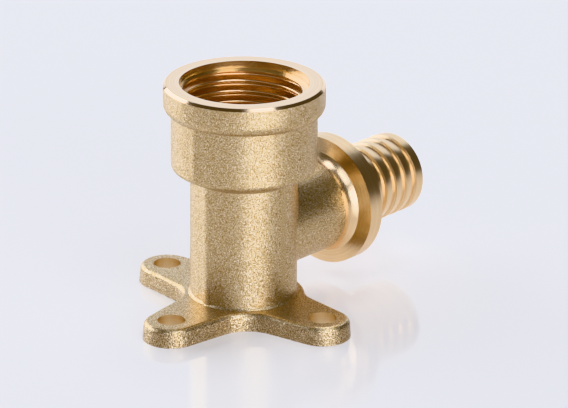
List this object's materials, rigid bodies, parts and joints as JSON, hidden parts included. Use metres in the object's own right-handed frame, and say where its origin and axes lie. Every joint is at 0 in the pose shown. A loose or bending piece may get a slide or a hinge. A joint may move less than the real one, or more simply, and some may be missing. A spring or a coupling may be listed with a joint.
{
  "type": "wall plate elbow",
  "caption": "Brass wall plate elbow: threaded socket on a lugged screw-down plate, with a flanged and ribbed pipe spigot leaving it sideways.",
  "frame": {"origin": "on the socket's axis, at the underside of the wall plate", "axes": "+Z out of the socket along its axis, +X out along the pipe spigot"},
  "size_m": [0.0592, 0.0434, 0.0389],
  "materials": {
    "brass": "sand-blasted forging, turned bright at the socket face, flange and spigot"
  },
  "bodies": {
    "root": {"elbow_body": "brass"}
  },
  "joints": []
}
